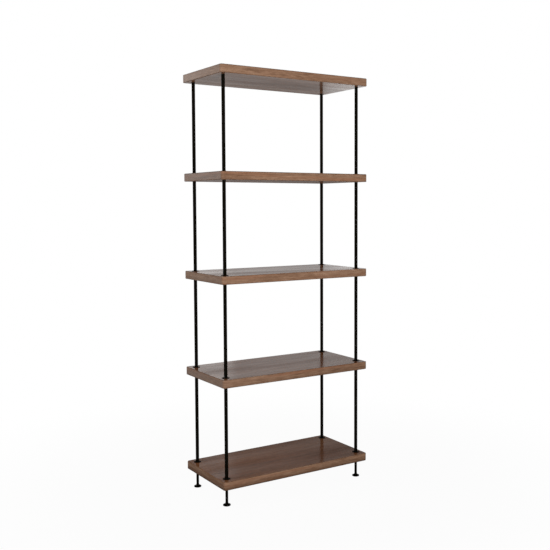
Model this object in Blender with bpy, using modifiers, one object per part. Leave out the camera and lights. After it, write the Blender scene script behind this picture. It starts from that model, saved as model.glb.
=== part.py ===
# Display shelf: five walnut boards stacked on four rows of screwed steel uprights,
# each row ending in a levelling foot.
# Metres, +Z up. The origin is the middle of the footprint on the floor, and the front faces -Y.

import math

import bmesh
import bpy

# Overall size
WIDTH = 0.5969
DEPTH = 0.2921
HEIGHT = 1.4732
FLOOR_GAP = 0.0635  # floor to the underside of the lowest board, feet screwed in

# Boards, named from the floor up
BOARDS = ("bottom", "lower", "middle", "upper", "top")
BOARD_T = 0.028
BOARD_CORNER_R = 0.009  # corners seen from above
BOARD_EDGE_R = 0.0025  # rounded rims of the top and bottom faces
INSET_X = 0.026  # axis of an upright to the end of the board
INSET_Y = 0.034  # axis of an upright to the front or back of the board

# Clearances
SEAT_GAP = 0.0003  # between two faces that rest on each other
FIT = 0.0003  # on the radius, round whatever stands in a hole

# Uprights: round tube, a stud welded into the top and a threaded plug in the foot
POST_R = 0.006
POST_WALL = 0.001
PLUG_WALL = 0.0017  # threaded plug between the stud and the tube
STUD_CHAMFER = 0.0006
STUD_GRIP = 0.012  # length of stud screwed into the next upright
FOOT_PLUG_SPARE = 0.004  # threaded plug beyond the end of the stud
TOP_PLUG = 0.006

# Flanges: thin dished washers that the uprights stand in
FLANGE_R = 0.013
FLANGE_RIM = 0.0008
FLANGE_FLOOR = 0.0008  # metal under the end of the upright
FLANGE_H = 0.002
HUB_WALL = 0.0009

# Blind threaded inserts in the underside of the top board
INSERT_WALL = 0.0027
INSERT_ROOF = 0.003
TOP_COVER = 0.010  # wood left above the insert

# Sockets of the feet, let into the underside of the bottom board
SOCKET_WALL = 0.0027
SOCKET_ROOF = 0.004
SOCKET_WEB = 0.007  # wood left above the socket
SOCKET_LIP = 0.004  # flange standing out round the barrel
SOCKET_FLANGE_T = 0.002

# Feet: a threaded stem that spins in a trumpet-shaped base on a rubber pad
STEM_R = 0.004  # threaded upper part
SHANK_STEP = 0.0007  # plain shank standing out round the thread, which stops at the socket
STEM_CHAMFER = 0.0008
FLATS_ACROSS = 0.008
FLATS_H = 0.006
FLATS_ABOVE_BASE = 0.003
SPIGOT_STEP = 0.00125  # shoulder between the stem and its spigot
RIVET_LIP = 0.00175
RIVET_T = 0.0012
BASE_R = 0.013
BASE_RIM = 0.0034
BASE_TOP = 0.010  # height of the base's neck above the floor
BASE_NECK_STEP = 0.0006  # neck of the base standing out round the shank
BASE_LIP = 0.0012  # rim of the base round the pad
PAD_T = 0.0025
PAD_PROUD = 0.0006  # pad standing out below the base
PAD_CHAMFER = 0.0004

# Fineness of the round shapes
POST_SIDES = 12
ROUND_SIDES = 16
FLARE_STEPS = 3
CORNER_STEPS = 4
RIM_STEPS = 2
MERGE = 0.00001
SHARP_ANGLE = math.radians(35)

TIERS = len(BOARDS) - 1
TIER_CLEAR = (HEIGHT - FLOOR_GAP - len(BOARDS) * BOARD_T) / TIERS
STUD_HOLE_R = POST_R - POST_WALL - PLUG_WALL
STUD_R = STUD_HOLE_R - FIT
INSERT_R = STUD_HOLE_R + INSERT_WALL
SOCKET_BORE_R = STEM_R + FIT
SOCKET_R = SOCKET_BORE_R + SOCKET_WALL
SHANK_R = STEM_R + SHANK_STEP
SPIGOT_R = STEM_R - SPIGOT_STEP
RIVET_R = SPIGOT_R + RIVET_LIP
PAD_R = BASE_R - BASE_LIP - FIT
SOCKET_TOP = BOARD_T - SOCKET_WEB - SEAT_GAP  # above the underside of the board
INSERT_TOP = BOARD_T - TOP_COVER - SEAT_GAP
STEM_TOP = FLOOR_GAP + SOCKET_TOP - SOCKET_ROOF - SEAT_GAP
SHANK_TOP = FLOOR_GAP - SOCKET_FLANGE_T - 2 * SEAT_GAP
CORNERS = {
    "front_left": (INSET_X - WIDTH / 2, INSET_Y - DEPTH / 2),
    "front_right": (WIDTH / 2 - INSET_X, INSET_Y - DEPTH / 2),
    "back_left": (INSET_X - WIDTH / 2, DEPTH / 2 - INSET_Y),
    "back_right": (WIDTH / 2 - INSET_X, DEPTH / 2 - INSET_Y),
}


def underside(level):
    return FLOOR_GAP + level * (BOARD_T + TIER_CLEAR)


def new_collection(name):
    made = bpy.data.collections.new(name)
    bpy.context.scene.collection.children.link(made)
    return made


def finish(name, colour, roughness, metallic):
    made = bpy.data.materials.new(name)
    made.use_nodes = True
    shader = made.node_tree.nodes["Principled BSDF"]
    shader.inputs["Base Color"].default_value = (*colour, 1.0)
    shader.inputs["Roughness"].default_value = roughness
    shader.inputs["Metallic"].default_value = metallic
    return made


def evaluated_mesh(obj, name):
    bpy.context.view_layer.update()
    graph = bpy.context.evaluated_depsgraph_get()
    mesh = bpy.data.meshes.new_from_object(obj.evaluated_get(graph))
    mesh.name = name
    mesh.shade_smooth()
    mesh.set_sharp_from_angle(angle=SHARP_ANGLE)
    return mesh


def turned_object(name, profile, sides, ring=False):
    # The profile's (radius, height) points run down the outer side. A ring's profile is a closed loop.
    count = len(profile)
    edges = [(i, i + 1) for i in range(count - 1)]
    if ring:
        edges.append((count - 1, 0))
    outline = bpy.data.meshes.new(name)
    outline.from_pydata([(radius, 0.0, z) for radius, z in profile], edges, [])
    obj = bpy.data.objects.new(name, outline)
    cutters.objects.link(obj)
    screw = obj.modifiers.new("Turn", "SCREW")
    screw.axis = "Z"
    screw.steps = sides
    screw.render_steps = sides
    screw.use_merge_vertices = True
    screw.merge_threshold = MERGE
    return obj


def turned_mesh(name, profile, sides, ring=False):
    obj = turned_object(name, profile, sides, ring)
    mesh = evaluated_mesh(obj, name)
    bpy.data.objects.remove(obj)
    return mesh


def flare(neck_r, neck_z, rim_r, rim_z):
    # Concave quarter ellipse from the neck down and out to the rim.
    points = []
    for step in range(FLARE_STEPS + 1):
        turn = math.pi / 2 * step / FLARE_STEPS
        radius = rim_r - (rim_r - neck_r) * math.cos(turn)
        points.append((radius, neck_z - (neck_z - rim_z) * math.sin(turn)))
    return points


def add_part(name, mesh, material, location, parent=None):
    obj = bpy.data.objects.new(name, mesh)
    if not mesh.materials:
        mesh.materials.append(material)
    obj.location = location
    obj.parent = parent
    parts.objects.link(obj)
    return obj


def make_cutter(name, mesh, location):
    obj = bpy.data.objects.new(name, mesh)
    obj.location = location
    obj.hide_render = True
    obj.display_type = "WIRE"
    cutters.objects.link(obj)
    return obj


def cut(obj, cutter):
    boolean = obj.modifiers.new(cutter.name, "BOOLEAN")
    boolean.operation = "DIFFERENCE"
    boolean.object = cutter


def board_blank(name):
    # Slab with its four upright corners rounded, standing on its local origin.
    mesh = bpy.data.meshes.new(name)
    shape = bmesh.new()
    bmesh.ops.create_cube(shape, size=1.0)
    bmesh.ops.translate(shape, vec=(0, 0, 0.5), verts=shape.verts)
    bmesh.ops.scale(shape, vec=(WIDTH, DEPTH, BOARD_T), verts=shape.verts)
    corners = [
        edge for edge in shape.edges
        if abs(edge.verts[0].co.z - edge.verts[1].co.z) > BOARD_T / 2
    ]
    bmesh.ops.bevel(
        shape, geom=corners, offset=BOARD_CORNER_R, offset_type="OFFSET",
        segments=CORNER_STEPS, profile=0.5, affect="EDGES",
    )
    shape.to_mesh(mesh)
    shape.free()
    return mesh


def make_board(level, hole_mesh):
    name = f"board_{BOARDS[level]}"
    z = underside(level)
    board = add_part(name, board_blank(name), walnut, (0, 0, z))
    rim = board.modifiers.new("Rounded rims", "BEVEL")
    rim.width = BOARD_EDGE_R
    rim.segments = RIM_STEPS
    rim.limit_method = "ANGLE"
    rim.angle_limit = SHARP_ANGLE
    for corner, (x, y) in CORNERS.items():
        cut(board, make_cutter(f"hole_{BOARDS[level]}_{corner}", hole_mesh, (x, y, z)))


def through_hole():
    # Plain stud hole, cut past both faces of a board.
    return turned_mesh("through_hole", [
        (0, 2 * BOARD_T),
        (STUD_HOLE_R, 2 * BOARD_T),
        (STUD_HOLE_R, -BOARD_T),
        (0, -BOARD_T),
    ], ROUND_SIDES)


def blind_hole():
    # Bore for a threaded insert, open below.
    return turned_mesh("blind_hole", [
        (0, INSERT_TOP + SEAT_GAP),
        (INSERT_R + FIT, INSERT_TOP + SEAT_GAP),
        (INSERT_R + FIT, -BOARD_T),
        (0, -BOARD_T),
    ], ROUND_SIDES)


def socket_hole():
    # Bore for the barrel of a foot socket, with the stud hole above it.
    return turned_mesh("socket_hole", [
        (0, 2 * BOARD_T),
        (STUD_HOLE_R, 2 * BOARD_T),
        (STUD_HOLE_R, SOCKET_TOP + SEAT_GAP),
        (SOCKET_R + FIT, SOCKET_TOP + SEAT_GAP),
        (SOCKET_R + FIT, -BOARD_T),
        (0, -BOARD_T),
    ], ROUND_SIDES)


def upright_mesh(name, stud_length):
    # Local origin at the foot of the tube. The threaded plug's bore opens into the hollow tube.
    top = TIER_CLEAR - FLANGE_FLOOR - 3 * SEAT_GAP
    stud_end = top + stud_length
    plug_top = STUD_GRIP + FOOT_PLUG_SPARE
    hollow_r = POST_R - POST_WALL
    return turned_mesh(name, [
        (0, stud_end),
        (STUD_R - STUD_CHAMFER, stud_end),
        (STUD_R, stud_end - STUD_CHAMFER),
        (STUD_R, top),
        (POST_R, top),
        (POST_R, 0),
        (STUD_HOLE_R, 0),
        (STUD_HOLE_R, plug_top),
        (hollow_r, plug_top),
        (hollow_r, top - TOP_PLUG),
        (0, top - TOP_PLUG),
    ], POST_SIDES)


def flange_mesh():
    # Local origin on the underside. The cup in the hub holds the foot of an upright.
    cup_r = POST_R + FIT
    return turned_mesh("flange", [
        (cup_r, FLANGE_H),
        *flare(cup_r + HUB_WALL, FLANGE_H, FLANGE_R, FLANGE_RIM),
        (FLANGE_R, 0),
        (STUD_HOLE_R, 0),
        (STUD_HOLE_R, FLANGE_FLOOR),
        (cup_r, FLANGE_FLOOR),
    ], ROUND_SIDES, ring=True)


def insert_mesh():
    # Local origin level with the underside of the top board.
    return turned_mesh("top_insert", [
        (0, INSERT_TOP),
        (INSERT_R, INSERT_TOP),
        (INSERT_R, 0),
        (STUD_HOLE_R, 0),
        (STUD_HOLE_R, INSERT_TOP - INSERT_ROOF),
        (0, INSERT_TOP - INSERT_ROOF),
    ], ROUND_SIDES)


def socket_mesh(stud_end):
    # Local origin level with the underside of the bottom board.
    flange_top = -SEAT_GAP
    flange_bottom = flange_top - SOCKET_FLANGE_T
    flange_r = SOCKET_R + SOCKET_LIP
    bore_top = SOCKET_TOP - SOCKET_ROOF
    return turned_mesh("foot_socket", [
        (0, stud_end),
        (STUD_R - STUD_CHAMFER, stud_end),
        (STUD_R, stud_end - STUD_CHAMFER),
        (STUD_R, SOCKET_TOP),
        (SOCKET_R, SOCKET_TOP),
        (SOCKET_R, flange_top),
        (flange_r, flange_top),
        (flange_r, flange_bottom),
        (SOCKET_BORE_R, flange_bottom),
        (SOCKET_BORE_R, bore_top),
        (0, bore_top),
    ], ROUND_SIDES)


def rivet_levels():
    # Bottom and top of the rivet head that keeps a stem in its base.
    bottom = PAD_T + 2 * SEAT_GAP
    return bottom, bottom + RIVET_T


def stem_mesh():
    # Local origin on the floor. Two wrench flats are cut just above the base.
    rivet_bottom, rivet_top = rivet_levels()
    shoulder = BASE_TOP + SEAT_GAP
    stem = turned_object("foot_stem", [
        (0, STEM_TOP),
        (STEM_R - STEM_CHAMFER, STEM_TOP),
        (STEM_R, STEM_TOP - STEM_CHAMFER),
        (STEM_R, SHANK_TOP),
        (SHANK_R, SHANK_TOP),
        (SHANK_R, shoulder),
        (SPIGOT_R, shoulder),
        (SPIGOT_R, rivet_top),
        (RIVET_R, rivet_top),
        (RIVET_R, rivet_bottom),
        (0, rivet_bottom),
    ], ROUND_SIDES)
    flats = []
    for side in (-1, 1):
        block = bpy.data.meshes.new("wrench_flat")
        shape = bmesh.new()
        bmesh.ops.create_cube(shape, size=1.0)
        bmesh.ops.scale(shape, vec=(2 * SHANK_R, 4 * SHANK_R, FLATS_H), verts=shape.verts)
        shape.to_mesh(block)
        shape.free()
        x = side * (FLATS_ACROSS / 2 + SHANK_R)
        z = shoulder + FLATS_ABOVE_BASE + FLATS_H / 2
        flats.append(make_cutter("wrench_flat", block, (x, 0, z)))
        cut(stem, flats[-1])
    mesh = evaluated_mesh(stem, "foot_stem")
    for used in [stem, *flats]:
        bpy.data.objects.remove(used)
    return mesh


def base_mesh():
    # Local origin on the floor. The underside holds the rubber pad and, above it, the rivet head.
    spigot_hole = SPIGOT_R + FIT
    rivet_hole = RIVET_R + FIT
    pad_hole = PAD_R + FIT
    pad_seat = PAD_T + SEAT_GAP
    rivet_seat = rivet_levels()[1] + SEAT_GAP
    return turned_mesh("foot_base", [
        (spigot_hole, BASE_TOP),
        *flare(SHANK_R + BASE_NECK_STEP, BASE_TOP, BASE_R, PAD_PROUD + BASE_RIM),
        (BASE_R, PAD_PROUD),
        (pad_hole, PAD_PROUD),
        (pad_hole, pad_seat),
        (rivet_hole, pad_seat),
        (rivet_hole, rivet_seat),
        (spigot_hole, rivet_seat),
    ], ROUND_SIDES, ring=True)


def pad_mesh():
    return turned_mesh("foot_pad", [
        (0, PAD_T),
        (PAD_R, PAD_T),
        (PAD_R, PAD_CHAMFER),
        (PAD_R - PAD_CHAMFER, 0),
        (0, 0),
    ], ROUND_SIDES)


def make_boards():
    plain = through_hole()
    holes = [socket_hole()] + [plain] * (TIERS - 1) + [blind_hole()]
    for level, hole in enumerate(holes):
        make_board(level, hole)


def make_uprights():
    # A stud runs through its board and the flange above, into the next upright or the top insert.
    grip = STUD_GRIP + FLANGE_FLOOR + 2 * SEAT_GAP
    joined = upright_mesh("upright", BOARD_T + SEAT_GAP + grip)
    ended = upright_mesh("upright_top_tier", INSERT_TOP - INSERT_ROOF)
    flange = flange_mesh()
    for tier in range(TIERS):
        seat = underside(tier) + BOARD_T + SEAT_GAP
        mesh = ended if tier == TIERS - 1 else joined
        for corner, (x, y) in CORNERS.items():
            add_part(f"flange_{tier + 1}_{corner}", flange, black, (x, y, seat))
            foot = seat + FLANGE_FLOOR + SEAT_GAP
            add_part(f"upright_{tier + 1}_{corner}", mesh, black, (x, y, foot))


def make_inserts():
    insert = insert_mesh()
    for corner, (x, y) in CORNERS.items():
        add_part(f"top_insert_{corner}", insert, zinc, (x, y, underside(TIERS)))


def make_feet():
    socket = socket_mesh(BOARD_T + FLANGE_FLOOR + 2 * SEAT_GAP + STUD_GRIP)
    stem = stem_mesh()
    base = base_mesh()
    pad = pad_mesh()
    for corner, (x, y) in CORNERS.items():
        add_part(f"foot_socket_{corner}", socket, black, (x, y, FLOOR_GAP))
        axis = bpy.data.objects.new(f"foot_axis_{corner}", None)
        axis.location = (x, y, 0)
        parts.objects.link(axis)
        add_part(f"foot_stem_{corner}", stem, black, (0, 0, 0), axis)
        add_part(f"foot_base_{corner}", base, black, (0, 0, 0), axis)
        add_part(f"foot_pad_{corner}", pad, rubber, (0, 0, 0), axis)


for old in list(bpy.data.objects):
    bpy.data.objects.remove(old)

parts = new_collection("display_shelf")
cutters = new_collection("cutters")
cutters.hide_render = True

walnut = finish("walnut", (0.19, 0.105, 0.062), 0.42, 0.0)
black = finish("black_powder_coat", (0.012, 0.012, 0.013), 0.45, 0.4)
zinc = finish("zinc_plate", (0.62, 0.62, 0.60), 0.35, 1.0)
rubber = finish("rubber", (0.03, 0.03, 0.03), 0.85, 0.0)

make_boards()
make_uprights()
make_inserts()
make_feet()
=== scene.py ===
import math

import bpy
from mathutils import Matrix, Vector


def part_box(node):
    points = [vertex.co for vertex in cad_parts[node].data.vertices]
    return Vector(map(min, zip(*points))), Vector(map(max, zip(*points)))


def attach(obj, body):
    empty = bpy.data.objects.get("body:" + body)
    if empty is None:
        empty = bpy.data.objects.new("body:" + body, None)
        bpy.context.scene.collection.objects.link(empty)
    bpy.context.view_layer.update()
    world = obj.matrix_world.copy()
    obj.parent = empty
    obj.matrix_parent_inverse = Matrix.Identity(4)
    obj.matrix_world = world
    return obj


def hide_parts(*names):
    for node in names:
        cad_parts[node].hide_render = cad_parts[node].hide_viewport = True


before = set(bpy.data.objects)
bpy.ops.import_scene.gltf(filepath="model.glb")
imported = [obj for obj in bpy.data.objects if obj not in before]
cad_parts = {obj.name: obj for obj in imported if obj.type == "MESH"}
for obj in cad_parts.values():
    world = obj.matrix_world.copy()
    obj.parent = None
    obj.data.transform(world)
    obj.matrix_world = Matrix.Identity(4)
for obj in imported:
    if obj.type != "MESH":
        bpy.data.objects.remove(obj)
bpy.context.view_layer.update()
print("frame loaded:", len(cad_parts), "nodes")

corners = ("front_left", "front_right", "back_left", "back_right")
boardLevels = ("bottom", "lower", "middle", "upper", "top")
tiers = (1, 2, 3, 4)

modelling = {
    "startSize": 0.01,  # of the plane that a turned piece starts from
    "mergeDistance": 0.000002,
    "ringReach": 0.00002,  # a point this near to a ring belongs to it
    "smoothAngle": math.radians(32),
    "fullTurn": 2 * math.pi,
}


# selection and modelling helpers

def startFresh():
    if bpy.context.mode != "OBJECT":
        bpy.ops.object.mode_set(mode="OBJECT")
    bpy.ops.object.select_all(action="DESELECT")


def selectOnly(piece):
    startFresh()
    piece.select_set(True)
    bpy.context.view_layer.objects.active = piece


def namePiece(piece, name):
    piece.name = name
    piece.data.name = name


def pickEdges(piece, isWanted):
    # leaves the piece in edit mode with only the wanted edges selected
    selectOnly(piece)
    bpy.ops.object.mode_set(mode="EDIT")
    bpy.ops.mesh.select_mode(type="EDGE")
    bpy.ops.mesh.select_all(action="DESELECT")
    bpy.ops.object.mode_set(mode="OBJECT")
    points = piece.data.vertices
    for edge in piece.data.edges:
        edge.select = isWanted(*(points[index].co for index in edge.vertices))
    bpy.ops.object.mode_set(mode="EDIT")


def ringRadius(point):
    return math.hypot(point.x, point.y)


def onRing(point, ring):
    reach = modelling["ringReach"]
    return abs(ringRadius(point) - ring[0]) < reach and abs(point.z - ring[1]) < reach


def turnPiece(name, outline, sides, closed=False):
    # the outline's (radius, height) points run down the outer side; a closed one makes a ring
    startFresh()
    bpy.ops.mesh.primitive_plane_add(size=modelling["startSize"])
    piece = bpy.context.active_object
    namePiece(piece, name)
    bpy.ops.object.mode_set(mode="EDIT")
    bpy.ops.mesh.select_mode(type="VERT")
    bpy.ops.mesh.merge(type="CENTER")
    bpy.ops.transform.translate(value=(outline[0][0], 0, outline[0][1]))
    stops = list(outline) + ([outline[0]] if closed else [])
    for (fromRadius, fromHeight), (toRadius, toHeight) in zip(stops, stops[1:]):
        step = (toRadius - fromRadius, 0, toHeight - fromHeight)
        bpy.ops.mesh.extrude_vertices_move(TRANSFORM_OT_translate={"value": step})
    bpy.ops.mesh.select_all(action="SELECT")
    bpy.ops.mesh.spin(steps=sides, angle=modelling["fullTurn"], center=(0, 0, 0), axis=(0, 0, 1))
    bpy.ops.mesh.select_all(action="SELECT")
    bpy.ops.mesh.remove_doubles(threshold=modelling["mergeDistance"])
    bpy.ops.mesh.normals_make_consistent(inside=False)
    bpy.ops.object.mode_set(mode="OBJECT")
    return piece


def softenRims(piece, rims, width, steps):
    pickEdges(piece, lambda a, b: any(onRing(a, rim) and onRing(b, rim) for rim in rims))
    bpy.ops.mesh.bevel(offset=width, segments=steps, profile=0.5, affect="EDGES", clamp_overlap=True)
    bpy.ops.object.mode_set(mode="OBJECT")


def markRims(piece, rims, reach):
    # 1 on the worn rims of a turned piece, fading to 0 within reach
    wearAndShade = piece.data.attributes.new("rimWearAndShade", "FLOAT", "POINT")
    for point, value in zip(piece.data.vertices, wearAndShade.data):
        gap = min(math.hypot(ringRadius(point.co) - r, point.co.z - z) for r, z in rims)
        value.value = max(0.0, 1.0 - gap / reach)


def smoothPiece(piece):
    selectOnly(piece)
    bpy.ops.object.shade_smooth_by_angle(angle=modelling["smoothAngle"], keep_sharp_edges=True)


def cutAway(piece, cutter):
    selectOnly(piece)
    boolean = piece.modifiers.new("cut", "BOOLEAN")
    boolean.operation = "DIFFERENCE"
    boolean.solver = "EXACT"
    boolean.object = cutter
    bpy.ops.object.modifier_apply(modifier=boolean.name)
    bpy.data.objects.remove(cutter)


def placeCopy(pattern, name, place):
    # a copy with its own mesh, its place applied
    selectOnly(pattern)
    bpy.ops.object.duplicate(linked=False)
    copy = bpy.context.active_object
    namePiece(copy, name)
    copy.location = place
    bpy.ops.object.transform_apply(location=True, rotation=False, scale=False)
    return copy


def flareOutline(neck, rim, steps):
    # concave quarter ellipse from the neck down and out to the rim
    points = []
    for step in range(steps + 1):
        turn = math.pi / 2 * step / steps
        radius = rim[0] - (rim[0] - neck[0]) * math.cos(turn)
        points.append((radius, neck[1] - (neck[1] - rim[1]) * math.sin(turn)))
    return points


def nodeAxis(node):
    low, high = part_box(node)
    return (low.x + high.x) / 2, (low.y + high.y) / 2


def nodeRadius(node):
    low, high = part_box(node)
    return (high.x - low.x) / 2


def dress(piece, body, slot, material, *nodes):
    piece.data.materials.clear()
    piece.data.materials.append(material)
    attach(piece, body)
    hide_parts(*nodes)


# materials

def newMaterial(name):
    material = bpy.data.materials.new(name)
    material.use_nodes = True
    return material, material.node_tree, material.node_tree.nodes["Principled BSDF"]


def addNode(tree, kind, *links, **values):
    # links feed the inputs in order, values set inputs or settings by name
    node = tree.nodes.new(kind)
    for key, value in values.items():
        if hasattr(node, key):
            setattr(node, key, value)
        else:
            node.inputs[key].default_value = value
    for socket, source in zip(node.inputs, links):
        if source is not None:
            tree.links.new(source, socket)
    return node


def addMath(tree, operation, first, second):
    node = tree.nodes.new("ShaderNodeMath")
    node.operation = operation
    for socket, value in zip(node.inputs, (first, second)):
        if isinstance(value, (int, float)):
            socket.default_value = value
        else:
            tree.links.new(value, socket)
    return node.outputs[0]


def addNoise(tree, vector, pattern):
    stretch, detail, roughness, shift = pattern
    mapping = addNode(tree, "ShaderNodeMapping", vector)
    mapping.inputs["Scale"].default_value = stretch
    mapping.inputs["Location"].default_value = (shift, shift, shift)
    noise = addNode(tree, "ShaderNodeTexNoise", mapping.outputs[0], noise_dimensions="3D")
    noise.inputs["Scale"].default_value = 1.0
    noise.inputs["Detail"].default_value = detail
    noise.inputs["Roughness"].default_value = roughness
    return noise.outputs[0]


def addRamp(tree, factor, stops):
    ramp = addNode(tree, "ShaderNodeValToRGB", factor)
    elements = ramp.color_ramp.elements
    while len(elements) < len(stops):
        elements.new(0.5)
    for element, (position, colour) in zip(elements, stops):
        element.position = position
        element.color = (*colour, 1.0)
    return ramp.outputs[0]


def addRange(tree, value, fromRange, toRange):
    node = addNode(tree, "ShaderNodeMapRange", value)
    node.inputs["From Min"].default_value, node.inputs["From Max"].default_value = fromRange
    node.inputs["To Min"].default_value, node.inputs["To Max"].default_value = toRange
    return node.outputs[0]


def addMix(tree, factor, first, second, blend="MIX"):
    node = tree.nodes.new("ShaderNodeMix")
    node.data_type = "RGBA"
    node.blend_type = blend
    for socket, value in zip((node.inputs[0], node.inputs[6], node.inputs[7]), (factor, first, second)):
        if isinstance(value, (int, float, tuple)):
            socket.default_value = value
        else:
            tree.links.new(value, socket)
    return node.outputs[2]


def addBump(tree, height, distance, strength):
    bump = addNode(tree, "ShaderNodeBump")
    bump.inputs["Strength"].default_value = strength
    bump.inputs["Distance"].default_value = distance
    tree.links.new(height, bump.inputs["Height"])
    return bump.outputs[0]


noiseSpan = (0.3, 0.7)  # most values of a noise pattern lie in it

walnutLook = {
    # patterns: repeats per metre along the grain and across it, detail, roughness, shift
    "wander": ((3.4, 9.0, 1.0), 2.0, 0.55, 0.0),
    "band": ((0.9, 8.0, 1.0), 1.0, 0.5, 31.7),
    "figure": ((2.2, 42.0, 1.0), 4.0, 0.6, 0.0),
    "streak": ((9.0, 210.0, 1.0), 3.0, 0.6, 4.7),
    "fleck": ((30.0, 190.0, 1.0), 2.0, 0.55, 12.9),
    "fibre": ((34.0, 1500.0, 1.0), 2.0, 0.5, 9.1),
    "red": ((3.1, 95.0, 1.0), 2.0, 0.5, 17.3),
    "pore": ((95.0, 2600.0, 1.0), 1.0, 0.5, 23.9),
    "sheen": ((2.4, 16.0, 1.0), 3.0, 0.55, 41.3),
    "wanderReach": 0.016,  # metres across the grain
    "toneShares": {"band": 0.22, "figure": 0.20, "streak": 0.22, "fleck": 0.24, "fibre": 0.12},
    "blended": ("band", "figure"),  # along the back, into the layers of the left end
    "toneStops": (0.38, 0.50, 0.62),  # of the dark, middle and light tones
    "dark": (0.112, 0.056, 0.031),
    "middle": (0.222, 0.125, 0.077),
    "light": (0.335, 0.208, 0.138),
    "redTint": (0.245, 0.112, 0.062, 1.0),
    "redSpan": (0.52, 0.68),
    "redShare": 0.55,
    "poreTint": (0.105, 0.056, 0.034, 1.0),
    "poreSpan": (0.60, 0.70),
    "poreShare": 0.65,
    # dark line on the rims: worn edges and painted shade
    "rimTint": (0.080, 0.043, 0.027, 1.0),
    # painted shade: the sides turn darker towards their lower edge
    "paintedLowShadeTint": (0.17, 0.10, 0.065, 1.0),
    "paintedLowShadePower": 2.2,
    "wideFaceShadeTint": (0.84, 0.62, 0.46, 1.0),  # painted shade: the wide faces are darker than the edge bands
    "roughness": (0.52, 0.40),
    "relief": (0.00012, 0.35),  # depth in metres, strength
    "specular": 0.0,
    "sheenRange": (0.68, 1.32),  # the lacquer lies a little unevenly
    "coatIor": 1.5,
    "coatRoughness": 0.18,
}


def wanderingGrain(tree, uvMap):
    # the grain lines wander a little to both sides of straight
    grain = addNode(tree, "ShaderNodeUVMap", uv_map=uvMap).outputs[0]
    wander = addMath(tree, "SUBTRACT", addNoise(tree, grain, walnutLook["wander"]), 0.5)
    across = addMath(tree, "MULTIPLY", wander, walnutLook["wanderReach"])
    offset = addNode(tree, "ShaderNodeCombineXYZ")
    tree.links.new(across, offset.inputs[1])
    return addNode(tree, "ShaderNodeVectorMath", grain, offset.outputs[0], operation="ADD").outputs[0]


def addBlend(tree, factor, first, second):
    step = addMath(tree, "MULTIPLY", addMath(tree, "SUBTRACT", second, first), factor)
    return addMath(tree, "ADD", first, step)


def walnutLacquer():
    look = walnutLook
    material, tree, shader = newMaterial("walnutLacquer")
    moved, movedBehind = wanderingGrain(tree, "grain"), wanderingGrain(tree, "grainBehind")
    layers = {name: addNoise(tree, moved, look[name]) for name in look["toneShares"]}
    behind = addNode(tree, "ShaderNodeAttribute", attribute_name="behind").outputs["Fac"]
    for name in look["blended"]:
        layers[name] = addBlend(tree, behind, layers[name], addNoise(tree, movedBehind, look[name]))
    tone = 0.0
    for name, share in look["toneShares"].items():
        tone = addMath(tree, "ADD", tone, addMath(tree, "MULTIPLY", layers[name], share))
    tones = (look["dark"], look["middle"], look["light"])
    colour = addRamp(tree, tone, tuple(zip(look["toneStops"], tones)))
    red = addRange(tree, addNoise(tree, moved, look["red"]), look["redSpan"], (0.0, look["redShare"]))
    colour = addMix(tree, red, colour, look["redTint"])
    pore = addNoise(tree, moved, look["pore"])
    pores = addRange(tree, pore, look["poreSpan"], (0.0, look["poreShare"]))
    colour = addMix(tree, pores, colour, look["poreTint"])
    # painted shade: the wide faces darker than the edge bands
    wideFaceShade = addNode(tree, "ShaderNodeAttribute", attribute_name="wideFaceShade").outputs["Fac"]
    colour = addMix(tree, wideFaceShade, colour, look["wideFaceShadeTint"], "MULTIPLY")
    # painted shade, darker towards the lower edge of the sides
    low = addNode(tree, "ShaderNodeAttribute", attribute_name="paintedLowShade").outputs["Fac"]
    paintedLowShade = addMath(tree, "POWER", low, look["paintedLowShadePower"])
    colour = addMix(tree, paintedLowShade, colour, look["paintedLowShadeTint"], "MULTIPLY")
    # dark line on the rims: worn edges and painted shade
    rim = addNode(tree, "ShaderNodeAttribute", attribute_name="rimWearAndShade").outputs["Fac"]
    colour = addMix(tree, rim, colour, look["rimTint"])
    tree.links.new(colour, shader.inputs["Base Color"])
    fibre = layers["fibre"]
    tree.links.new(addRange(tree, fibre, noiseSpan, look["roughness"]), shader.inputs["Roughness"])
    relief = addMath(tree, "SUBTRACT", fibre, pores)
    tree.links.new(addBump(tree, relief, *look["relief"]), shader.inputs["Normal"])
    shader.inputs["Specular IOR Level"].default_value = look["specular"]
    lacquer = addNode(tree, "ShaderNodeAttribute", attribute_name="lacquer").outputs["Fac"]
    cloud = addRange(tree, addNoise(tree, moved, look["sheen"]), noiseSpan, look["sheenRange"])
    tree.links.new(addMath(tree, "MULTIPLY", lacquer, cloud), shader.inputs["Coat Weight"])
    shader.inputs["Coat IOR"].default_value = look["coatIor"]
    shader.inputs["Coat Roughness"].default_value = look["coatRoughness"]
    return material


coatLook = {
    # patterns: repeats per metre, detail, roughness, shift
    "patch": ((26.0, 26.0, 26.0), 4.0, 0.6, 0.0),
    "peel": ((900.0, 900.0, 900.0), 2.0, 0.5, 3.3),  # orange peel
    "toneStops": (0.38, 0.66),
    "colour": (0.0030, 0.0024, 0.0014),
    "dusty": (0.0045, 0.0038, 0.0026),
    "rimTint": (0.010, 0.0095, 0.009, 1.0),
    "rimSpan": (0.40, 0.65),  # of the patches, from little wear on the rims to much
    "rimShare": (0.1, 0.6),
    "roughness": (0.42, 0.54),
    "relief": (0.00003, 0.05),
    "specular": 0.006,
}


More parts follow.
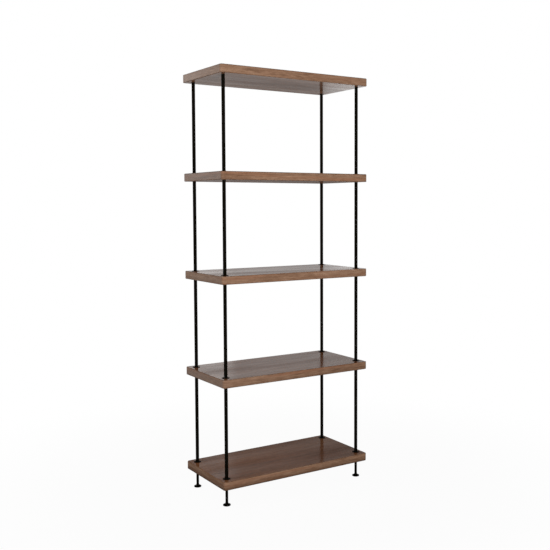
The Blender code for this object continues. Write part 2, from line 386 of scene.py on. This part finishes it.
def blackPowderCoat():
    look = coatLook
    material, tree, shader = newMaterial("blackPowderCoat")
    place = addNode(tree, "ShaderNodeTexCoord").outputs["Object"]
    patch = addNoise(tree, place, look["patch"])
    peel = addNoise(tree, place, look["peel"])
    colour = addRamp(tree, patch, tuple(zip(look["toneStops"], (look["colour"], look["dusty"]))))
    rim = addNode(tree, "ShaderNodeAttribute", attribute_name="rimWearAndShade").outputs["Fac"]
    worn = addMath(tree, "MULTIPLY", rim, addRange(tree, patch, look["rimSpan"], look["rimShare"]))
    colour = addMix(tree, worn, colour, look["rimTint"])
    tree.links.new(colour, shader.inputs["Base Color"])
    tree.links.new(addRange(tree, patch, noiseSpan, look["roughness"]), shader.inputs["Roughness"])
    tree.links.new(addBump(tree, peel, *look["relief"]), shader.inputs["Normal"])
    shader.inputs["Specular IOR Level"].default_value = look["specular"]
    return material


zincLook = {
    "grain": ((420.0, 420.0, 60.0), 4.0, 0.6, 0.0),
    "toneStops": (0.35, 0.65),
    "dull": (0.43, 0.435, 0.43),
    "bright": (0.56, 0.565, 0.57),
    "roughness": (0.42, 0.30),
    "relief": (0.00004, 0.3),
    "metallic": 1.0,
}


def zincPlate():
    look = zincLook
    material, tree, shader = newMaterial("zincPlate")
    place = addNode(tree, "ShaderNodeTexCoord").outputs["Object"]
    turned = addNoise(tree, place, look["grain"])
    colour = addRamp(tree, turned, tuple(zip(look["toneStops"], (look["dull"], look["bright"]))))
    tree.links.new(colour, shader.inputs["Base Color"])
    tree.links.new(addRange(tree, turned, noiseSpan, look["roughness"]), shader.inputs["Roughness"])
    tree.links.new(addBump(tree, turned, *look["relief"]), shader.inputs["Normal"])
    shader.inputs["Metallic"].default_value = look["metallic"]
    return material


rubberLook = {
    "speckle": ((700.0, 700.0, 700.0), 3.0, 0.6, 0.0),
    "toneStops": (0.40, 0.70),
    "colour": (0.011, 0.011, 0.011),
    "bloom": (0.024, 0.024, 0.023),
    "roughness": (0.78, 0.92),
    "relief": (0.00008, 0.4),
    "specular": 0.3,
}


def blackRubber():
    look = rubberLook
    material, tree, shader = newMaterial("blackRubber")
    place = addNode(tree, "ShaderNodeTexCoord").outputs["Object"]
    speckle = addNoise(tree, place, look["speckle"])
    colour = addRamp(tree, speckle, tuple(zip(look["toneStops"], (look["colour"], look["bloom"]))))
    tree.links.new(colour, shader.inputs["Base Color"])
    tree.links.new(addRange(tree, speckle, noiseSpan, look["roughness"]), shader.inputs["Roughness"])
    tree.links.new(addBump(tree, speckle, *look["relief"]), shader.inputs["Normal"])
    shader.inputs["Specular IOR Level"].default_value = look["specular"]
    return material


walnut = walnutLacquer()
powderCoat = blackPowderCoat()
zinc = zincPlate()
rubber = blackRubber()
print("materials ready: walnut, powder coat, zinc, rubber")


# boards

boardShape = {
    "cornerRadius": 0.009,  # seen from above
    "cornerSteps": 10,
    "rimRadius": 0.0025,
    "rimSteps": 6,
    # strength of the rims' dark line, worn edge and painted shade
    "rimWearAndShade": 1.3,
    "faceDepth": 0.0002,  # points this near to a wide face belong to it
    "underFaceShade": 0.4,  # share of the wide faces' painted shade on the underside
    "holeSides": 48,
    "studHole": 0.0033,
    "fit": 0.0003,
    "grainShift": (1.37, 0.61),  # each board is cut from another place in the log
    "grainTurned": ("upper",),  # and lies the other way round
    "bandTilt": 0.7,  # faces whose normal rises less than this belong to the edge band
}
# both tables are matched to the photo by measure
boardWearAndShade = {  # dark line along the upper rims and along the lower rims (worn edges and painted shade), and painted shade darkening low on the sides
    "bottom": (0.2, 1.0, 0.9),
    "lower": (0.2, 1.0, 0.35),
    "middle": (0.3, 1.0, 0.25),
    "upper": (1.0, 0.6, 0.0),
    "top": (1.0, 0.6, 0.0),
}
boardLacquer = {  # share of lacquer on the upper face, the underside, the long sides and the ends
    "bottom": (0.20, 0.30, 0.0, 0.08),
    "lower": (0.40, 0.30, 0.15, 0.40),
    "middle": (0.46, 0.30, 0.15, 0.34),
    "upper": (0.45, 0.15, 0.15, 0.56),
    "top": (0.45, 0.31, 0.15, 0.62),
}


def drill(board, axis, outline):
    cutter = turnPiece("drill", outline, boardShape["holeSides"])
    cutter.location = (*axis, 0)
    selectOnly(cutter)
    bpy.ops.object.transform_apply(location=True, rotation=False, scale=False)
    cutAway(board, cutter)


def drillOutline(level, low, high):
    # plain stud holes, with a blind bore in the top board and a stepped one in the bottom board
    past = high.z - low.z
    stud = boardShape["studHole"]
    above, below = high.z + past, low.z - past
    if level == "top":
        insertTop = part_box("top_insert_front_left")[1].z
        bore = nodeRadius("top_insert_front_left") + boardShape["fit"]
        roof = insertTop + boardShape["fit"]
        return [(0, roof), (bore, roof), (bore, below), (0, below)]
    if level == "bottom":
        bore = socketShape["barrelRadius"] + boardShape["fit"]
        roof = low.z + socketShape["barrelTop"] + boardShape["fit"]
        return [(0, above), (stud, above), (stud, roof), (bore, roof), (bore, below), (0, below)]
    return [(0, above), (stud, above), (stud, below), (0, below)]


def markBoard(board, level, low, high):
    # the marks steer the finish: the rims' dark line of worn edges and painted shade, the lacquer, the
    # painted shade of the wide faces and the painted shade low on the sides
    names = ("rimWearAndShade", "lacquer", "wideFaceShade", "paintedLowShade")
    for name in names:
        board.data.attributes.new(name, "FLOAT", "POINT")
    marks = {name: board.data.attributes[name].data for name in names}
    shape = boardShape
    upperRim, lowerRim, paintedLowShade = boardWearAndShade[level]
    onTop, onUnder, onSides, onEnds = boardLacquer[level]
    middle, half = (low + high) / 2, (high - low) / 2
    for index, point in enumerate(board.data.vertices):
        # how far the point lies past the straight sides, into a rounded corner
        past = [
            abs(point.co[axis] - middle[axis]) - half[axis] + shape["cornerRadius"] for axis in (0, 1)
        ]
        if min(past) > 0:
            fromSide = shape["cornerRadius"] - math.hypot(*past)
        else:
            fromSide = shape["cornerRadius"] - max(past)
        fromTop, fromUnder = high.z - point.co.z, point.co.z - low.z
        inRim = 1.0 - max(fromSide, min(fromTop, fromUnder)) / shape["rimRadius"]
        wearAndShade = max(0.0, inRim) * shape["rimWearAndShade"]
        above, below = (gap < shape["faceDepth"] for gap in (fromTop, fromUnder))
        reach = [max(0.0, part) ** 2 for part in past]
        lacquer = onSides + (onEnds - onSides) * reach[0] / max(sum(reach), shape["faceDepth"] ** 2)
        if above or below:
            lacquer = onTop if above else onUnder
        # dark line on the rims: worn edges and painted shade
        marks["rimWearAndShade"][index].value = min(1.0, wearAndShade * (upperRim if fromTop < fromUnder else lowerRim))
        marks["lacquer"][index].value = lacquer * max(0.0, 1.0 - wearAndShade)
        # painted shade on the wide faces, less on the underside
        marks["wideFaceShade"][index].value = 1.0 if above else shape["underFaceShade"] if below else 0.0
        # painted shade, growing towards the lower edge of the sides
        marks["paintedLowShade"][index].value = paintedLowShade ** (1 / walnutLook["paintedLowShadePower"]) * fromTop / (high.z - low.z)


def alongBand(point, spot, half):
    # the way around the edge band from the middle of the front, for a point of the face at spot;
    # it meets itself at the back left corner
    radius = boardShape["cornerRadius"]
    flat = half.x - radius, half.y - radius
    arc = radius * math.pi / 2
    if abs(spot.x) < flat[0]:
        return point.x if spot.y < 0 else 2 * (flat[0] + arc + flat[1]) - point.x
    side = 1 if spot.x > 0 else -1
    if abs(spot.y) < flat[1]:
        return side * (flat[0] + arc + flat[1] + point.y)
    turn = radius * math.atan2(abs(point.x) - flat[0], abs(point.y) - flat[1])
    return side * (flat[0] + turn if spot.y < 0 else flat[0] + 2 * arc + 2 * flat[1] - turn)


def layGrain(board, level, order, low, high):
    # in metres, u runs along the grain: lengthwise on the wide faces, and around the edge band
    maps = ("grain", "grainBehind")
    for name in maps:
        board.data.uv_layers.new(name=name)
    board.data.attributes.new("behind", "FLOAT", "CORNER")
    grain, grainBehind = (board.data.uv_layers[name].data for name in maps)
    behind = board.data.attributes["behind"].data
    shiftAlong, shiftAcross = (shift * order for shift in boardShape["grainShift"])
    way = -1 if level in boardShape["grainTurned"] else 1
    middle, half = (low + high) / 2, (high - low) / 2
    radius = boardShape["cornerRadius"]
    flat = half.x - radius
    wholeWay = 4 * (flat + half.y - radius) + modelling["fullTurn"] * radius
    for face in board.data.polygons:
        onBand = abs(face.normal.z) < boardShape["bandTilt"]
        spot = face.center - middle
        onBack = onBand and spot.y > 0 and abs(spot.x) < flat
        for loop in face.loop_indices:
            place = board.data.vertices[board.data.loops[loop].vertex_index].co
            along, across = place.x, place.y
            if onBand:
                along, across = alongBand(place - middle, spot, half), place.z
            grain[loop].uv = (along * way + shiftAlong, across + shiftAcross)
            # the back is also reached the other way round, which takes over towards the left
            otherWay = along - wholeWay if onBack else along
            grainBehind[loop].uv = (otherWay * way + shiftAlong, across + shiftAcross)
            behind[loop].value = (flat - place.x + middle.x) / (2 * flat) if onBack else 0.0


def makeBoard(level, order):
    shape = boardShape
    node = "board_" + level
    low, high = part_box(node)
    startFresh()
    bpy.ops.mesh.primitive_cube_add(size=1.0, location=(low + high) / 2)
    board = bpy.context.active_object
    board.scale = high - low
    bpy.ops.object.transform_apply(location=True, rotation=False, scale=True)
    namePiece(board, "walnutBoard." + level)
    thickness = high.z - low.z
    pickEdges(board, lambda a, b: abs(a.z - b.z) > thickness / 2)
    bpy.ops.mesh.bevel(offset=shape["cornerRadius"], segments=shape["cornerSteps"], affect="EDGES")
    bpy.ops.object.mode_set(mode="OBJECT")
    pickEdges(board, lambda a, b: abs(a.z - b.z) < thickness / 2)
    bpy.ops.mesh.bevel(offset=shape["rimRadius"], segments=shape["rimSteps"], affect="EDGES")
    bpy.ops.object.mode_set(mode="OBJECT")
    for corner in corners:
        drill(board, nodeAxis("upright_1_" + corner), drillOutline(level, low, high))
    markBoard(board, level, low, high)
    layGrain(board, level, order, low, high)
    smoothPiece(board)
    weighted = board.modifiers.new("weighted", "WEIGHTED_NORMAL")
    weighted.keep_sharp = True
    bpy.ops.object.modifier_apply(modifier=weighted.name)
    dress(board, "frame", "walnut", walnut, node)


# uprights

uprightShape = {
    "sides": 48,
    "seatGap": 0.0003,
    "wall": 0.001,
    "studRadius": 0.003,
    "studChamfer": 0.0006,
    "plugBore": 0.0033,
    "plugLength": 0.016,
    "topPlug": 0.006,
    "rimSoft": 0.0003,
    "rimSteps": 3,
    "wearReach": 0.0012,
}


def makeUpright(tier, corner, name):
    shape = uprightShape
    node = f"upright_{tier}_{corner}"
    low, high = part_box(node)
    outer = nodeRadius(node)
    hollow = outer - shape["wall"]
    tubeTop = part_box("board_" + boardLevels[tier])[0].z - shape["seatGap"] - low.z
    studEnd = high.z - low.z
    upright = turnPiece(name, [
        (0, studEnd),
        (shape["studRadius"] - shape["studChamfer"], studEnd),
        (shape["studRadius"], studEnd - shape["studChamfer"]),
        (shape["studRadius"], tubeTop),
        (outer, tubeTop),
        (outer, tubeTop - 2 * shape["wearReach"]),
        (outer, 2 * shape["wearReach"]),
        (outer, 0),
        (shape["plugBore"], 0),
        (shape["plugBore"], shape["plugLength"]),
        (hollow, shape["plugLength"]),
        (hollow, tubeTop - shape["topPlug"]),
        (0, tubeTop - shape["topPlug"]),
    ], shape["sides"])
    rims = [(outer, tubeTop), (outer, 0)]
    softenRims(upright, rims, shape["rimSoft"], shape["rimSteps"])
    markRims(upright, rims, shape["wearReach"])
    smoothPiece(upright)
    return upright


# flanges

flangeShape = {
    "sides": 64,
    "flareSteps": 16,
    "rim": 0.0008,
    "floor": 0.0008,
    "studHole": 0.0033,
    "cupGap": 0.0003,
    "hubWall": 0.0009,
    "rimSoft": 0.0003,
    "hubSoft": 0.00025,
    "rimSteps": 3,
    "wearReach": 0.0012,
}


def makeFlange(name):
    shape = flangeShape
    low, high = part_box("flange_1_front_left")
    outer = nodeRadius("flange_1_front_left")
    height = high.z - low.z
    cup = nodeRadius("upright_1_front_left") + shape["cupGap"]
    hub = cup + shape["hubWall"]
    flange = turnPiece(name, [
        (cup, height),
        *flareOutline((hub, height), (outer, shape["rim"]), shape["flareSteps"]),
        (outer, 0),
        (shape["studHole"], 0),
        (shape["studHole"], shape["floor"]),
        (cup, shape["floor"]),
    ], shape["sides"], closed=True)
    rims = [(outer, shape["rim"]), (outer, 0)]
    hubRims = [(hub, height), (cup, height)]
    softenRims(flange, rims, shape["rimSoft"], shape["rimSteps"])
    softenRims(flange, hubRims, shape["hubSoft"], shape["rimSteps"])
    markRims(flange, rims + hubRims, shape["wearReach"])
    smoothPiece(flange)
    return flange


# threaded inserts of the top board

insertShape = {
    "sides": 48,
    "studBore": 0.0033,
    "roof": 0.003,
    "mouthSoft": 0.0004,
    "ringCount": 6,  # barbs round the outside that bite into the wood
    "ringDepth": 0.0005,
    "barbStart": 0.5,  # in pitches
    "barbLength": 0.6,
}


def makeInsert(name):
    shape = insertShape
    low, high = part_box("top_insert_front_left")
    outer = nodeRadius("top_insert_front_left")
    height = high.z - low.z
    pitch = height / (shape["ringCount"] + 1)
    barbs = []
    for ring in range(shape["ringCount"]):
        top = height - pitch * (ring + shape["barbStart"])
        barbs += [(outer - shape["ringDepth"], top), (outer, top - pitch * shape["barbLength"])]
    insert = turnPiece(name, [
        (0, height),
        (outer - shape["ringDepth"], height),
        *barbs,
        (outer, 0),
        (shape["studBore"] + shape["mouthSoft"], 0),
        (shape["studBore"], shape["mouthSoft"]),
        (shape["studBore"], height - shape["roof"]),
        (0, height - shape["roof"]),
    ], shape["sides"])
    smoothPiece(insert)
    return insert


# sockets of the feet

socketShape = {
    "sides": 64,
    "barrelRadius": 0.007,
    "barrelTop": 0.0207,  # above the underside of the bottom board
    "roof": 0.004,
    "bore": 0.0043,
    "studRadius": 0.003,
    "studChamfer": 0.0006,
    "seatGap": 0.0003,
    "mouthSoft": 0.0005,
    "rimSoft": 0.0005,
    "rimSteps": 3,
    "wearReach": 0.0012,
}


def makeSocket(name):
    # heights are measured from the underside of the bottom board
    shape = socketShape
    low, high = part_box("foot_socket_front_left")
    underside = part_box("board_bottom")[0].z
    outer = nodeRadius("foot_socket_front_left")
    flangeBottom = low.z - underside
    studEnd = high.z - underside
    boreTop = shape["barrelTop"] - shape["roof"]
    socket = turnPiece(name, [
        (0, studEnd),
        (shape["studRadius"] - shape["studChamfer"], studEnd),
        (shape["studRadius"], studEnd - shape["studChamfer"]),
        (shape["studRadius"], shape["barrelTop"]),
        (shape["barrelRadius"], shape["barrelTop"]),
        (shape["barrelRadius"], -shape["seatGap"]),
        (outer, -shape["seatGap"]),
        (outer, flangeBottom),
        (shape["bore"] + shape["mouthSoft"], flangeBottom),
        (shape["bore"], flangeBottom + shape["mouthSoft"]),
        (shape["bore"], boreTop),
        (0, boreTop),
    ], shape["sides"])
    rims = [(outer, -shape["seatGap"]), (outer, flangeBottom)]
    softenRims(socket, rims, shape["rimSoft"], shape["rimSteps"])
    markRims(socket, rims, shape["wearReach"])
    smoothPiece(socket)
    return socket


# stems of the feet

stemShape = {
    "sides": 48,
    "radius": 0.004,
    "shank": 0.0047,  # plain part below the thread
    "seatGap": 0.0003,
    "chamfer": 0.0008,
    "spigot": 0.00275,
    "rivet": 0.0045,
    "rivetThickness": 0.0012,
    "shoulder": 0.0103,
    "flatsAcross": 0.008,
    "flatsHeight": 0.006,
    "flatsAbove": 0.003,  # from the shoulder to the lower end of the wrench flats
    "pitch": 0.00125,
    "ringsPerPitch": 10,
    "threadDepth": 0.00062,
    "threadReach": 0.00005,  # points this near to the thread's radius are cut
    "crest": 0.12,  # flat crests, in half pitches
    "flank": 0.76,
    "runOut": 0.0015,  # over which the thread fades into the plain stem
    "rimSoft": 0.0003,
    "rimSteps": 2,
    "wearReach": 0.001,
}


def cutThread(stem, bottom, top):
    # pushes the rings of the upper stem in along a right-hand helix
    shape = stemShape
    for point in stem.data.vertices:
        radius = ringRadius(point.co)
        onThread = abs(radius - shape["radius"]) <= shape["threadReach"]
        if not onThread or not bottom <= point.co.z <= top:
            continue
        turn = math.atan2(point.co.y, point.co.x) / modelling["fullTurn"]
        phase = (point.co.z / shape["pitch"] - turn) % 1.0
        groove = (abs(phase - 0.5) * 2 - shape["crest"]) / shape["flank"]
        groove = min(1.0, max(0.0, groove))
        fade = min(1.0, (point.co.z - bottom) / shape["runOut"])
        share = (radius - shape["threadDepth"] * groove * fade) / radius
        point.co.x *= share
        point.co.y *= share


def makeStem(name):
    shape = stemShape
    low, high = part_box("foot_stem_front_left")
    rivetTop = low.z + shape["rivetThickness"]
    threadTop = high.z - shape["chamfer"]
    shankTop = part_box("foot_socket_front_left")[0].z - shape["seatGap"]
    ringStep = shape["pitch"] / shape["ringsPerPitch"]
    ringCount = math.floor((threadTop - shankTop) / ringStep)
    threadBottom = threadTop - ringStep * ringCount
    stem = turnPiece(name, [
        (0, high.z),
        (shape["radius"] - shape["chamfer"], high.z),
        *[(shape["radius"], threadTop - ringStep * ring) for ring in range(ringCount + 1)],
        (shape["radius"], shankTop),
        (shape["shank"], shankTop),
        (shape["shank"], shankTop - 2 * shape["wearReach"]),
        (shape["shank"], shape["shoulder"] + 2 * shape["wearReach"]),
        (shape["shank"], shape["shoulder"]),
        (shape["spigot"], shape["shoulder"]),
        (shape["spigot"], rivetTop),
        (shape["rivet"], rivetTop),
        (shape["rivet"], low.z),
        (0, low.z),
    ], shape["sides"])
    cutThread(stem, threadBottom, threadTop)
    rims = [(shape["shank"], shankTop), (shape["shank"], shape["shoulder"]), (shape["rivet"], low.z)]
    softenRims(stem, rims, shape["rimSoft"], shape["rimSteps"])
    flatsMiddle = shape["shoulder"] + shape["flatsAbove"] + shape["flatsHeight"] / 2
    for side in (-1, 1):
        startFresh()
        bpy.ops.mesh.primitive_cube_add(size=1.0)
        block = bpy.context.active_object
        block.scale = (shape["shank"], shape["shank"] * 4, shape["flatsHeight"])
        block.location = (side * (shape["flatsAcross"] + shape["shank"]) / 2, 0, flatsMiddle)
        bpy.ops.object.transform_apply(location=True, rotation=False, scale=True)
        cutAway(stem, block)
    markRims(stem, rims, shape["wearReach"])
    smoothPiece(stem)
    return stem


# bases and pads of the feet

baseShape = {
    "sides": 64,
    "flareSteps": 18,
    "neck": 0.0053,
    "spigotHole": 0.00305,
    "rivetHole": 0.0048,
    "rim": 0.0034,
    "padSeat": 0.0028,
    "rivetSeat": 0.0046,
    "padHole": 0.0118,
    "rimSoft": 0.0005,
    "neckSoft": 0.0002,
    "rimSteps": 3,
    "wearReach": 0.0014,
}


def makeBase(name):
    shape = baseShape
    low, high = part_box("foot_base_front_left")
    outer = nodeRadius("foot_base_front_left")
    rimTop = low.z + shape["rim"]
    base = turnPiece(name, [
        (shape["spigotHole"], high.z),
        *flareOutline((shape["neck"], high.z), (outer, rimTop), shape["flareSteps"]),
        (outer, low.z),
        (shape["padHole"], low.z),
        (shape["padHole"], shape["padSeat"]),
        (shape["rivetHole"], shape["padSeat"]),
        (shape["rivetHole"], shape["rivetSeat"]),
        (shape["spigotHole"], shape["rivetSeat"]),
    ], shape["sides"], closed=True)
    rims = [(outer, rimTop), (outer, low.z)]
    neckRims = [(shape["neck"], high.z)]
    softenRims(base, rims, shape["rimSoft"], shape["rimSteps"])
    softenRims(base, neckRims, shape["neckSoft"], shape["rimSteps"])
    markRims(base, rims + neckRims, shape["wearReach"])
    smoothPiece(base)
    return base


padShape = {
    "sides": 64,
    "chamfer": 0.0004,
    "treadRings": 4,  # grooves in the sole
    "treadDepth": 0.0003,
    "treadFrom": 0.004,
    "treadStart": 0.35,  # in pitches
    "groove": ((0.0, 0.0), (0.1, 1.0), (0.3, 1.0), (0.4, 0.0)),  # outline in pitches and depths
}


def makePad(name):
    shape = padShape
    low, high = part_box("foot_pad_front_left")
    outer = nodeRadius("foot_pad_front_left")
    sole = outer - shape["chamfer"]
    pitch = (sole - shape["treadFrom"]) / shape["treadRings"]
    tread = []
    for ring in range(shape["treadRings"]):
        start = sole - pitch * (ring + shape["treadStart"])
        for inward, depth in shape["groove"]:
            tread.append((start - pitch * inward, low.z + shape["treadDepth"] * depth))
    pad = turnPiece(name, [
        (0, high.z),
        (outer, high.z),
        (outer, low.z + shape["chamfer"]),
        (sole, low.z),
        *tread,
        (0, low.z),
    ], shape["sides"])
    smoothPiece(pad)
    return pad


for order, level in enumerate(boardLevels):
    makeBoard(level, order)
print("boards made:", len(boardLevels))

flangePattern = makeFlange("flangePattern")
for tier in tiers:
    pattern = makeUpright(tier, corners[0], "uprightPattern")
    for corner in corners:
        axis = nodeAxis(f"upright_{tier}_{corner}")
        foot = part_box(f"upright_{tier}_{corner}")[0].z
        upright = placeCopy(pattern, f"upright.{tier}.{corner}", (*axis, foot))
        dress(upright, "frame", "black_powder_coat", powderCoat, f"upright_{tier}_{corner}")
        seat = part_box(f"flange_{tier}_{corner}")[0].z
        flange = placeCopy(flangePattern, f"flange.{tier}.{corner}", (*axis, seat))
        dress(flange, "frame", "black_powder_coat", powderCoat, f"flange_{tier}_{corner}")
    bpy.data.objects.remove(pattern)
bpy.data.objects.remove(flangePattern)
print("uprights and flanges made:", len(tiers) * len(corners), "of each")

patterns = {
    "insert": makeInsert("insertPattern"),
    "socket": makeSocket("socketPattern"),
    "stem": makeStem("stemPattern"),
    "base": makeBase("basePattern"),
    "pad": makePad("padPattern"),
}
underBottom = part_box("board_bottom")[0].z
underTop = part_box("board_top")[0].z
for corner in corners:
    axis = nodeAxis("foot_socket_" + corner)
    insert = placeCopy(patterns["insert"], "topInsert." + corner, (*axis, underTop))
    dress(insert, "frame", "zinc_plate", zinc, "top_insert_" + corner)
    socket = placeCopy(patterns["socket"], "footSocket." + corner, (*axis, underBottom))
    dress(socket, "frame", "black_powder_coat", powderCoat, "foot_socket_" + corner)
    stem = placeCopy(patterns["stem"], "footStem." + corner, (*axis, 0))
    dress(stem, "stem_" + corner, "black_powder_coat", powderCoat, "foot_stem_" + corner)
    base = placeCopy(patterns["base"], "footBase." + corner, (*axis, 0))
    dress(base, "foot_" + corner, "black_powder_coat", powderCoat, "foot_base_" + corner)
    pad = placeCopy(patterns["pad"], "footPad." + corner, (*axis, 0))
    dress(pad, "foot_" + corner, "rubber", rubber, "foot_pad_" + corner)
for pattern in patterns.values():
    bpy.data.objects.remove(pattern)
print("inserts and feet made:", len(corners), "of each")


# floor, light and camera

def seenDirectly(tree):
    # 1 for what the camera sees, directly, in a reflection or through glass
    path = addNode(tree, "ShaderNodeLightPath")
    seen = addMath(tree, "MAXIMUM", path.outputs["Is Camera Ray"], path.outputs["Is Glossy Ray"])
    return addMath(tree, "MAXIMUM", seen, path.outputs["Is Transmission Ray"])


floorLook = {
    "size": 40.0,
    "colour": (0.65, 0.65, 0.65, 1.0),
    "nearWhite": 0.96,  # share of plain white under the shelf, where its shadow shows
    "fadeFrom": 0.5,  # metres from the shelf, where the floor starts to turn all white
    "fadeTo": 1.6,
}


def makeFloor():
    startFresh()
    bpy.ops.mesh.primitive_plane_add(size=floorLook["size"])
    floor = bpy.context.active_object
    namePiece(floor, "studioFloor")
    material, tree, shader = newMaterial("paleFloor")
    shader.inputs["Base Color"].default_value = floorLook["colour"]
    shader.inputs["Roughness"].default_value = 1.0
    shader.inputs["Specular IOR Level"].default_value = 0.0
    place = addNode(tree, "ShaderNodeTexCoord").outputs["Object"]
    away = addNode(tree, "ShaderNodeVectorMath", place, operation="LENGTH").outputs["Value"]
    fade = addNode(tree, "ShaderNodeMapRange", away, interpolation_type="SMOOTHSTEP")
    fade.inputs["From Min"].default_value = floorLook["fadeFrom"]
    fade.inputs["From Max"].default_value = floorLook["fadeTo"]
    fade.inputs["To Min"].default_value = floorLook["nearWhite"]
    white = addNode(tree, "ShaderNodeEmission")
    white.inputs["Strength"].default_value = 1.0
    seen = seenDirectly(tree)
    share = addMath(tree, "MULTIPLY", fade.outputs[0], seen)
    blend = addNode(tree, "ShaderNodeMixShader", share, shader.outputs[0], white.outputs[0])
    tree.links.new(blend.outputs[0], tree.nodes["Material Output"].inputs["Surface"])
    floor.data.materials.append(material)


worldLook = {
    "light": (1.0, 0.995, 0.985, 1.0),
    "lightStrength": 0.22,
}


def makeWorld():
    world = bpy.data.worlds.new("studio")
    bpy.context.scene.world = world
    world.use_nodes = True
    tree = world.node_tree
    tree.nodes.clear()
    soft = addNode(tree, "ShaderNodeBackground")
    soft.inputs["Color"].default_value = worldLook["light"]
    soft.inputs["Strength"].default_value = worldLook["lightStrength"]
    white = addNode(tree, "ShaderNodeBackground")
    white.inputs["Color"].default_value = (1.0, 1.0, 1.0, 1.0)
    blend = addNode(tree, "ShaderNodeMixShader", seenDirectly(tree), soft.outputs[0], white.outputs[0])
    output = addNode(tree, "ShaderNodeOutputWorld")
    tree.links.new(blend.outputs[0], output.inputs["Surface"])


lamps = {  # the two strong ones stay out of the reflections, the three weak ones are there for them
    "key": {"place": (-0.9, -3.4, 0.8), "aim": (-0.05, 0, 1.5), "size": (1.2, 1.2), "power": 34.5,
            "spread": 95, "mirrored": False},
    "left": {"place": (-2.6, 0.3, 2.2), "aim": (-0.3, 0, 0.8), "size": (1.3, 1.3), "power": 19.0,
             "spread": 180, "mirrored": False},
    "right": {"place": (1.65, 1.59, 1.17), "aim": (0.2, 0, 1.4), "size": (0.6, 0.34), "power": 0.9,
              "spread": 180, "mirrored": True},
    "low": {"place": (0.62, 1.86, 0.78), "aim": (-0.2, 0, 0.3), "size": (0.36, 0.36), "power": 0.32,
            "spread": 180, "mirrored": True},
    "back": {"place": (-1.63, 2.68, 1.75), "aim": (-0.3, 0, 1.2), "size": (1.6, 2.6), "power": 7.2,
             "spread": 180, "mirrored": True},
}


def makeLamp(name, lamp):
    startFresh()
    bpy.ops.object.light_add(type="AREA", location=lamp["place"])
    light = bpy.context.active_object
    light.name = name + "Lamp"
    light.data.shape = "ELLIPSE"
    light.data.size, light.data.size_y = lamp["size"]
    light.data.energy = lamp["power"]
    light.data.spread = math.radians(lamp["spread"])
    light.visible_glossy = lamp["mirrored"]
    aim = light.location.copy()
    for index in range(3):
        aim[index] = lamp["aim"][index] - light.location[index]
    light.rotation_euler = aim.to_track_quat("-Z", "Y").to_euler()


cameraView = {
    "place": (-1.539, -2.526, 1.016),
    "yaw": -33.66,
    "pitch": -3.71,
    "roll": -0.13,
    "focalPixels": 817.1,
    "middle": (310.0, 258.0),  # where the lens axis meets the picture
    "picture": 550.0,
    "sensor": 36.0,
}


def makeCamera():
    startFresh()
    view = cameraView
    bpy.ops.object.camera_add(location=view["place"])
    camera = bpy.context.active_object
    camera.rotation_euler = (math.radians(90 + view["pitch"]), 0, math.radians(view["yaw"]))
    camera.rotation_euler.rotate_axis("Z", math.radians(view["roll"]))
    camera.data.sensor_width = view["sensor"]
    camera.data.lens = view["focalPixels"] * view["sensor"] / view["picture"]
    half = view["picture"] / 2
    camera.data.shift_x = (half - view["middle"][0]) / view["picture"]
    camera.data.shift_y = (view["middle"][1] - half) / view["picture"]
    bpy.context.scene.camera = camera


makeFloor()
makeWorld()
for name, lamp in lamps.items():
    makeLamp(name, lamp)
makeCamera()
bpy.context.scene.view_settings.view_transform = "Standard"
print("floor, light and camera ready")
